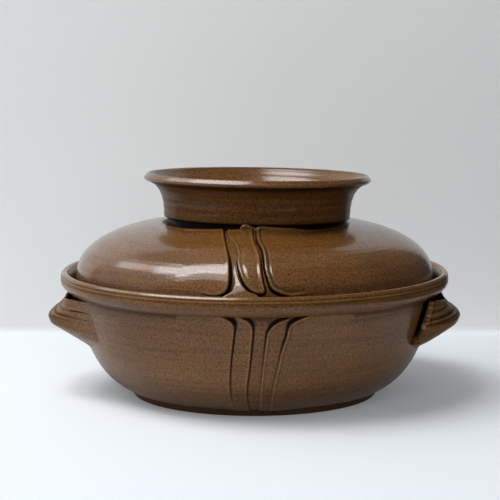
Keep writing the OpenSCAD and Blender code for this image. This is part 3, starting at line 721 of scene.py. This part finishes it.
handle_points, handle_faces, handle_values = lug_handle()
for side, name in ((1, "Right_handle"), (-1, "Left_handle")):
    handle_mesh = mesh_of(name, handle_points * [side, side, 1], handle_faces, handle_glaze, handle_values)
    joined_to(shown(name, handle_mesh), "dish", "handle_glaze", name.lower())


# Draped clay. A sheet is laid out on the surface by its place across, x, and its run up the profile.

class Surface:
    """A turned surface that sheets are draped on, from its profile, with the body that it belongs to and
    where that body's own streaks have got to at a height."""

    def __init__(self, body, streak_run, line):
        self.body = body
        self.streak_run = streak_run
        self.line = line
        self.run = run_of(line)
        self.way = directions(line)

    def run_at(self, z):
        """Length up the profile to a height."""
        return np.interp(z, self.line[:, 1], self.run)

    def lay(self, x, run, height):
        """Points that stand a height off the surface."""
        r, z = (np.interp(run, self.run, c) for c in self.line.T)
        nr, nz = np.interp(run, self.run, self.way[:, 1]), -np.interp(run, self.run, self.way[:, 0])
        turn = np.arcsin(np.clip(x / r, -1, 1))
        r, z = r + nr * height, z + nz * height
        return np.stack([r * np.sin(turn), -r * np.cos(turn), z], -1)


def bowl_run(z):
    """Length along the bowl's profile to a height on its belly, so that sheet and wall share streaks."""
    under_foot = 20
    outer = bowl_profile[: np.argmax(bowl_profile[:, 1])]
    return np.interp(z, outer[under_foot:, 1], run_of(outer[:, :2])[under_foot:])


def lid_run(z):
    """Length along the lid's profile to a height on its dome."""
    first = np.argmax(lid_profile[:, 0])
    outer = lid_profile[first:, :2]
    return run_of(lid_profile[:, :2])[first] + np.interp(z, outer[:, 1], run_of(outer))


# Up the wall, and on into the flare of the rim, where the sheets' upper edges are hidden
bowl_wall = Surface("dish", bowl_run, np.vstack([
    belly, belly[-1] + directions(belly)[-1] * np.linspace(0.5, 4, 8)[:, None]]))
# Up the dome, then up the foot of the collar, where the flaps end in small lips
lid_rise = Surface("lid", lid_run, np.vstack([
    dome[:-8], through([dome[-8], [COLLAR_R + 1.6, SHOULDER_Z + 0.8], [COLLAR_R + 0.6, SHOULDER_Z + 2.6],
                        [COLLAR_R + 0.6, SHOULDER_Z + 8]], 40)[1:]]))

EDGE_POINTS = 200


def laid(surface, table):
    """A smooth line on a surface through rows of (x, height) and what else they hold, as (x, run)."""
    rows = np.array(table, float)
    rows[:, 1] = surface.run_at(rows[:, 1])
    return through(rows, EDGE_POINTS)


def sheet_top(edge, reach, lip_w, bead, valley, swell):
    """A sheet's height over (x, run): its thickness at the free edge, falling away over its reach."""
    open_part = edge[:, 2] > 0.05
    free = edge[open_part]
    step = np.gradient(run_of(edge[:, :2]))[open_part]

    def height(plan):
        gaps = ((plan[:, None] - free[None, :, :2]) ** 2).sum(2) + 0.05
        weight = step / gaps ** 2
        total = weight.sum(1)
        thick = weight @ free[:, 2] / total
        d = np.maximum((math.pi / 2 / total) ** (1 / 3) - lip_w, 0)
        strong = smooth(thick)
        top = thick * (1 - np.clip(d / reach, 0, 1)) ** 2 - 0.3 * smooth((d - reach * 0.5) / (reach * 0.5))
        top += strong * (bead * bell(d, 0, lip_w * 0.55) - valley * bell(d, lip_w * 1.5, lip_w * 0.7)
                         + swell * (1 - np.exp(-d / 3)))
        return top, d, strong
    return height


# The fillet of glaze at the foot of a free edge, dark with pooled glaze and painted shade: its least width,
# # what the pooled glaze and shade add to it, and how far up the edge it reaches
FILLET_W, FILLET_GAIN, FILLET_H, SHEET_SUNK = 0.45, 0.75, 0.45, 0.6


def draped(name, surface, edge, far, reach, lip_w=1.1, bead=0.0, valley=0.0, swell=0.0, furrow=0.0, tan=0.3,
           sunk=SHEET_SUNK, under=None, more=()):
    """A sheet of clay: a free edge with a fillet at its foot that is dark with pooled glaze and painted
    shade, a rounded lip, a top that falls away over its reach, and a far side sunk under the surface. Edge is
    rows of (x, run, thickness, pooled glaze and painted shade), far is rows of (x, run), under gives the
    height of a sheet that it lies on, and more is other clay and glaze joined to it, as (points, faces).
    Returns its height, for a sheet that lies on it."""
    count = len(edge)
    line, glaze_and_shade = edge[:, :2], np.clip(edge[:, 3], 0, 6)
    way = directions(line)
    inward = np.stack([-way[:, 1], way[:, 0]], 1)
    inward *= np.sign(np.sum(inward * (far - line), axis=1).mean())
    width = FILLET_W + FILLET_GAIN * glaze_and_shade
    outside = np.linspace(0, 1, 9)
    lip = np.linspace(0, math.pi / 2, 9)[1:]
    near = np.linspace(lip_w, lip_w + 4, 14)[1:]
    away = np.linspace(0, 1, 26)[1:] ** 1.4
    bent = line + inward * near[-1]
    plan = np.stack([line - inward * (width * (1 - s))[:, None] for s in outside]
                    + [line + inward * lip_w * (1 - math.cos(a)) for a in lip]
                    + [line + inward * d for d in near]
                    + [bent + (far - bent) * s for s in away], 1)
    columns = plan.shape[1]
    first = len(outside) + len(lip) - 1
    top = sheet_top(edge, reach, lip_w, bead, valley, swell)
    height, distance, strong = (v.reshape(count, columns) for v in top(plan.reshape(-1, 2)))
    crest = height[:, first:first + 1]
    foot = np.zeros((count, first + 1))
    if under is not None:
        foot = under(plan[:, :first + 1].reshape(-1, 2))[0].reshape(count, -1)
    share = np.concatenate([FILLET_H * outside ** 2.2, FILLET_H + (1 - FILLET_H) * np.sin(lip)])
    height[:, :first + 1] = foot + (crest - foot) * share - 0.05 * (share == 0)
    height[:, -len(away):] -= sunk * smooth((away - 0.3) / 0.7)
    # Painted shade with pooled glaze: dark in the fillet at the foot of the free edge, and painted shade in
    # the valley behind the lip
    black = np.minimum(glaze_and_shade, 1)[:, None]
    dark = furrow * bell(distance, lip_w * 1.4, lip_w * 0.45) * strong
    dark[:, :first + 1] = black * np.concatenate([smooth(outside * 2), 1 - smooth(lip / 1.1)])
    # Glaze drawn thin on the lip, scaled by tan, which is raised as painted light on sheets whose lips face
    # the lamps
    light = np.zeros((count, columns))
    light[:, len(outside):first + 1] = smooth((lip - 0.6) / 0.8) * strong[:, first:first + 1]
    light[:, first + 1:] = (1 - smooth(distance[:, first + 1:] / 0.8)) * strong[:, first + 1:]

    x, run = plan[..., 0].ravel(), plan[..., 1].ravel()
    points = np.vstack([surface.lay(x, run, height.ravel()),
                        surface.lay(x, run, np.minimum(height.ravel(), 0) - SHEET_SUNK)])
    faces = closed_sheet(count, columns)
    dark, light = np.tile(dark.ravel(), 2), np.tile(tan * light.ravel(), 2)
    for added, its_faces in more:
        faces += [[len(points) + i for i in face] for face in its_faces]
        points = np.vstack([points, added])
    rest = np.zeros(len(points) - len(dark))
    values = {"pool": np.maximum(np.concatenate([dark, rest]), shade_to_foot(points[:, 2])),
              "thin": np.concatenate([light, rest]),
              "run": surface.streak_run(points[:, 2]) * MM}
    fold = shown(name, mesh_of(name, points, faces, fold_glaze, values))
    joined_to(fold, surface.body, "fold_glaze", name.lower())
    return top


PRESSED_WAY, PRESSED_SHARE = np.array([-0.265, -0.74, 0.62]), 0.6


def rolled_edge(surface, path):
    """A curled lip of clay, pressed a little flat, along rows of (x, height, stand off, radius)."""
    rings, size = 40, 20
    rows = np.array(path, float)
    rows[:, 1] = surface.run_at(rows[:, 1])
    rows = through(rows, rings)
    middle = surface.lay(rows[:, 0], rows[:, 1], rows[:, 2])
    way = directions(middle)
    side = np.cross(way, [0, -1, 0])
    side /= np.linalg.norm(side, axis=1)[:, None]
    up = np.cross(side, way)
    around = np.linspace(0, FULL_TURN, size, endpoint=False)
    ends = np.sqrt(np.clip(1 - np.abs(np.linspace(-1, 1, rings)) ** 8, 0.01, 1)) * rows[:, 3]
    across = np.array([np.cos(around)[:, None] * a + np.sin(around)[:, None] * b for a, b in zip(side, up)])
    across -= PRESSED_SHARE * (across @ PRESSED_WAY)[..., None] * PRESSED_WAY
    points = (middle[:, None] + ends[:, None, None] * across).reshape(-1, 3)
    caps = [tuple(range(size)), tuple(range((rings - 1) * size, rings * size))]
    return points, tube_faces(rings, size) + caps


def glaze_run(surface, left, right, depth):
    """A run of thick glaze down a surface, between two lines of (height, x), with rows of (height, depth)."""
    heights = np.linspace(left[0][0], left[-1][0], 60)
    across = np.linspace(0, 1, 30)
    start, end, deep = (np.interp(-heights, -rows[:, 0], rows[:, 1])
                        for rows in (np.array(left), np.array(right), np.array(depth)))
    x = start[:, None] + (end - start)[:, None] * across
    run = np.broadcast_to(surface.run_at(heights)[:, None], x.shape)
    edge = np.minimum(across, 1 - across) * (end - start)[:, None]
    height = deep[:, None] * (0.7 + 0.3 * across) * smooth(edge / 0.8) - 0.15 * (1 - smooth(edge / 0.3))
    points = np.vstack([surface.lay(x.ravel(), run.ravel(), h.ravel())
                        for h in (height, np.full(x.shape, -0.7))])
    return points, closed_sheet(len(heights), len(across))


# Edges of the sheets: place across, height, thickness, and pooled glaze with painted shade, deepest in the
# # dark corners under the rim. Where the thickness is 0 they are hidden.

outer_left = laid(bowl_wall, [
    (-58, 69.6, 0, 0), (-40, 69.6, 0, 0), (-26, 69.4, 0, 0), (-20, 68.8, 1.2, 1), (-16.8, 67.8, 2.2, 3),
    (-14.2, 66.4, 2.5, 4.5), (-12.6, 64.6, 2.6, 3.8), (-11.9, 62, 2.6, 2), (-12.2, 58.2, 2.5, 1.2),
    (-13, 50.6, 2.4, 1), (-14, 40.9, 2.2, 0.9), (-14.7, 31, 2, 0.8), (-14.7, 20.8, 1.7, 0.7),
    (-13.6, 13.4, 1.2, 0.5), (-12.8, 8, 0.7, 0)])
outer_left_far = laid(bowl_wall, [(-60, 66), (-60, 60), (-58, 35), (-52, 8)])
inner_left = laid(bowl_wall, [
    (-22, 69.6, 0, 0), (-13, 69.2, 0.4, 0.4), (-9, 68.3, 1, 1.8), (-5.9, 67.2, 1.3, 3.2),
    (-3.6, 65.6, 1.4, 3.8), (-2, 63.6, 1.4, 3), (-1.3, 60.8, 1.4, 1.6), (-1.3, 57.6, 1.3, 1.2),
    (-2.1, 47.5, 1.2, 1), (-3.3, 34.6, 1.1, 0.9), (-4.5, 24.6, 1, 0.8), (-4.6, 15.2, 0.9, 0.8),
    (-3.4, 6.8, 0.8, 0.7), (-3.2, 5, 0.7, 0.5)])
inner_left_far = laid(bowl_wall, [(-22, 66.5), (-21, 62), (-23, 35), (-20, 5)])
inner_right = laid(bowl_wall, [
    (30, 69.4, 0, 0), (22, 68, 0.6, 0.8), (17.8, 66.9, 1.1, 2.2), (14.6, 65.9, 1.3, 3.2),
    (12, 64.4, 1.4, 3.5), (9.8, 62.6, 1.4, 2.8), (8.1, 60.2, 1.4, 1.7), (7, 57.4, 1.3, 1.2),
    (6.1, 50.7, 1.2, 0.9), (5, 41, 1.2, 0.6), (4.1, 31.3, 1.1, 0.4), (3.2, 21, 1, 0.3),
    (2.7, 9.6, 0.9, 0.3), (2.6, 5, 0.7, 0.2)])
inner_right_far = laid(bowl_wall, [(30, 66), (27, 62), (23, 35), (18, 5)])
outer_right = laid(bowl_wall, [
    (60, 69.6, 0, 0), (45, 69.6, 0, 0), (37, 69.4, 0, 0), (30.8, 68.6, 1.2, 1.3), (26.2, 67.4, 2, 2.6),
    (22.4, 65.7, 2.4, 3.6), (20.2, 63.6, 2.5, 3), (19, 60.6, 2.5, 1.6), (18, 56, 2.4, 1.2),
    (15.3, 47.3, 2.3, 0.8), (13.3, 37.7, 2.2, 0.5), (11.3, 27.8, 2, 0.35), (9.8, 18.8, 1.8, 0.3),
    (9, 8.6, 1.3, 0.3), (8.8, 5, 1, 0.2)])
outer_right_far = laid(bowl_wall, [(62, 66), (62, 60), (58, 35), (50, 5)])

lid_left = laid(lid_rise, [
    (-19.2, 112.2, 1.2, 0.9), (-18.9, 110.6, 1.7, 0.9), (-18.2, 108, 2, 0.9), (-16.5, 103.2, 2.2, 1),
    (-15.2, 98.4, 2.4, 1.6), (-14.8, 91.7, 2.5, 2.3), (-15.1, 86.2, 2.5, 2.6), (-16.8, 82.4, 2.4, 2.8),
    (-20.4, 80.3, 1.9, 2.2), (-25.1, 79.8, 1.1, 1.1), (-28.7, 80.4, 0.5, 0.5), (-33, 81.2, 0.15, 0.1),
    (-38, 81.8, 0, 0), (-52, 82, 0, 0)])
lid_left_far = laid(lid_rise, [(-54, 111.6), (-56, 104), (-58, 92), (-56, 84)])
lid_right = laid(lid_rise, [
    (0, 112.6, 1.5, 0.5), (0.8, 111, 1.8, 0.7), (1.4, 107.5, 1.9, 0.9), (4.1, 103.4, 2.1, 1),
    (5.3, 98.5, 2.2, 1), (5.8, 93.4, 2.2, 1), (7.9, 87.4, 2.3, 1), (9.9, 83.6, 2.3, 1.5),
    (14.9, 81, 2.2, 2), (19.7, 79.8, 1.6, 1.8), (22.6, 79.5, 1.1, 1.2), (27, 80, 0.5, 0.5),
    (33, 80.9, 0.15, 0.15), (46, 82, 0, 0)])
lid_right_far = laid(lid_rise, [(44, 111.6), (50, 104), (52, 92), (50, 84)])
lid_flap = laid(lid_rise, [
    (-16.6, 112.2, 0.9, 0.3), (-16.8, 110.4, 0.9, 0.2), (-15, 108.4, 1, 0.1), (-12.4, 106.6, 1.3, 0.3),
    (-11.2, 104.2, 1.8, 0.5), (-10.2, 100.9, 1.9, 0.6), (-10.6, 98.5, 2, 0.8), (-9.8, 94.4, 2.2, 1),
    (-8, 89.6, 2.4, 1.4), (-5.1, 85.2, 2.5, 1.9), (-1.5, 82.4, 2.6, 2.2), (2.4, 81.2, 2.6, 2.2),
    (5.2, 81.6, 2.2, 1.4), (5.8, 84, 2, 1), (4.6, 88, 2, 1), (3.6, 94.4, 2, 1), (3.2, 99.5, 1.9, 0.9),
    (1.7, 103.4, 1.8, 0.8), (-0.3, 106.9, 1.6, 0.6), (-1.2, 110.5, 1.4, 0.5), (-1, 114.5, 1.4, 0.5)])
lid_spine = laid(lid_rise, [
    (-4.4, 114), (-6, 109), (-5, 103), (-3.6, 97), (-1.6, 91), (1.2, 86.2), (-1.6, 91), (-3.6, 97),
    (-5, 103), (-6, 109), (-4.4, 114)])

under_left = draped("Bowl_fold_inner_left", bowl_wall, inner_left, inner_left_far, 60)
# Its lip faces the lamps: a paler tan, glaze drawn thin and painted light
under_right = draped("Bowl_fold_inner_right", bowl_wall, inner_right, inner_right_far, 60,
                     lip_w=0.7, bead=0.25, valley=0.12, furrow=0.4, tan=0.6)
draped("Bowl_fold_outer_left", bowl_wall, outer_left, outer_left_far, 44, under=under_left)
# Its lip faces the lamps: a paler tan, glaze drawn thin and painted light
draped("Bowl_fold_outer_right", bowl_wall, outer_right, outer_right_far, 44,
       lip_w=0.8, bead=0.35, valley=0.15, furrow=0.45, tan=0.6, under=under_right)
draped("Lid_fold_left", lid_rise, lid_left, lid_left_far, 40, bead=0.2)
draped("Lid_fold_right", lid_rise, lid_right, lid_right_far, 40, bead=0.5, valley=0.4, furrow=0.6)
# The flap's top curls over the seam under the collar, and glaze has run down beside it
curls = (rolled_edge(lid_rise, [(-9.6, 111.4, 0.4, 0.4), (-8.2, 113.6, 1.3, 1), (-6.6, 115.3, 1.7, 1.3),
                                (-4.8, 115.4, 1.6, 1.1), (-2.4, 114.4, 1.4, 0.9), (0.6, 113.2, 0.9, 0.5)]),
         rolled_edge(lid_rise, [(-0.4, 111.6, 0.8, 0.4), (0.9, 113.2, 1.4, 0.9), (2.8, 113.9, 1.6, 1.1),
                                (5.2, 113.6, 1.4, 0.9), (8.2, 112.6, 0.6, 0.4)]))
run_down = glaze_run(
    lid_rise,
    [(100, -13), (98.4, -12.8), (91.7, -12.2), (86.2, -12.4), (82.4, -14), (80.3, -18), (79, -20)],
    [(100, -11.6), (98.5, -11.5), (94.4, -10.8), (89.6, -9.4), (85.2, -6.8), (82.4, -3.4), (81.2, 1),
     (79, 3)],
    [(100, 0.1), (96, 0.12), (93, 0.2), (91, 0.4), (89, 0.8), (87, 1.35), (85, 2.1), (83, 3), (81, 3.9),
     (79, 4.5)])
draped("Lid_fold_middle", lid_rise, lid_flap, lid_spine, 80, bead=0.35, valley=0.2, swell=0.6, sunk=0,
       more=curls + (run_down,))


# Stage: pale cloth that hangs behind and runs out over the table

SWEEP_START, SWEEP_R, CLOTH_FRONT, CLOTH_LEFT, CLOTH_RIGHT, CLOTH_TOP = 206, 6, -290, -420, 215, 420
FLOOR_HALF, FLOOR_Z = 12000, -0.5
sweep = [(CLOTH_FRONT, 0), (SWEEP_START, 0)]
sweep += [(SWEEP_START + SWEEP_R * math.sin(a), SWEEP_R * (1 - math.cos(a)))
          for a in np.linspace(0, math.pi / 2, 25)[1:]]
sweep += [(SWEEP_START + SWEEP_R, CLOTH_TOP)]
cloth_points = [(x, y, z) for y, z in sweep for x in (CLOTH_LEFT, CLOTH_RIGHT)]
cloth = plain_cloth("Smooth_matt_cloth", "#e9edf0", "#e6e7e6", 0.3 * MM, 5 * MM)
cloth_mesh = bpy.data.meshes.new("Backdrop_cloth")
cloth_mesh.from_pydata((np.array(cloth_points) * MM).tolist(), [], grid_faces(len(sweep), 2))
cloth_mesh.materials.append(cloth)
for face in cloth_mesh.polygons:
    face.use_smooth = True
shown("Backdrop_cloth", cloth_mesh)

# The floor goes on beyond the cloth for the camera only, so that the pot doesn't mirror it
floor_mesh = bpy.data.meshes.new("Floor")
floor_sides = (-FLOOR_HALF * MM, FLOOR_HALF * MM)
floor_mesh.from_pydata([(x, y, FLOOR_Z * MM) for y in floor_sides for x in floor_sides], [], grid_faces(2, 2))
floor_mesh.materials.append(cloth)
floor = shown("Floor", floor_mesh)
floor.visible_diffuse = floor.visible_glossy = floor.visible_transmission = floor.visible_shadow = False


# Light: a window of three panes high on the left, a wide one at the side, a soft fill in front that isn't
# mirrored, and the room's own light, which is dim low down and on the right

def aimed(way):
    """A turn that points -Z along a way."""
    z = -way / np.linalg.norm(way)
    x = np.cross([0, 0, 1], z)
    x /= np.linalg.norm(x)
    y = np.cross(z, x)
    return Matrix(np.column_stack([x, y, z]).tolist()).to_4x4()


TARGET = np.array([0, 0, 0.08])
for name, place, width, height, roll, power in (("Upper_window", (-0.52, -0.2, 1.2), 0.9, 0.44, 37, 8.9),
                                                ("Lower_window", (-0.58, -0.53, 1.06), 0.7, 0.5, 25, 2.7),
                                                ("Far_window", (-0.9, 0.35, 0.95), 0.5, 0.3, 41, 1.4),
                                                ("Side_window", (-1.3, 0.0, 0.62), 1.4, 1.0, 0, 1.5),
                                                ("Front_fill", (0.2, -1.15, 0.66), 1.2, 0.8, 0, 3.4)):
    lamp = bpy.data.lights.new(name, "AREA")
    lamp.shape = "RECTANGLE"
    lamp.size, lamp.size_y = width, height
    lamp.energy = power
    lamp.color = linear("#fbfdff")[:3]
    window = bpy.data.objects.new(name, lamp)
    window.matrix_world = (Matrix.Translation(place) @ aimed(TARGET - place)
                           @ Matrix.Rotation(math.radians(roll), 4, "Z"))
    window.visible_glossy = name != "Front_fill"
    bpy.context.scene.collection.objects.link(window)

world = bpy.data.worlds.new("Room_light")
world.use_nodes = True
bpy.context.scene.world = world
world.node_tree.nodes.clear()
add = partial(add_node, world.node_tree)
look = add("ShaderNodeSeparateXYZ", {0: add("ShaderNodeTexCoord").outputs["Generated"]})
strength = add("ShaderNodeMapRange", {0: look.outputs["Z"], 1: 0.0, 2: 0.8, 3: 0.15, 4: 0.29})
share = add("ShaderNodeMapRange", {0: look.outputs["X"], 1: -0.5, 2: 0.5, 3: 1.15, 4: 0.35})
strength = add("ShaderNodeMath", {0: strength, 1: share}, operation="MULTIPLY")
backing = add("ShaderNodeBackground", {"Color": linear("#f3f6fa"), "Strength": strength})
add("ShaderNodeOutputWorld", {"Surface": backing})

# Camera, at the photograph's angle
CAMERA_PLACE = (-0.00295, -1.2, 0.24935)
CAMERA_PITCH = math.radians(90 - 7.45)
camera_data = bpy.data.cameras.new("Camera")
camera_data.lens = 134.58
camera_data.sensor_width = 36
camera = bpy.data.objects.new("Camera", camera_data)
camera.location = CAMERA_PLACE
camera.rotation_euler = (CAMERA_PITCH, 0, 0)
bpy.context.scene.collection.objects.link(camera)
bpy.context.scene.camera = camera
bpy.context.scene.view_settings.view_transform = "Standard"

bpy.context.view_layer.update()
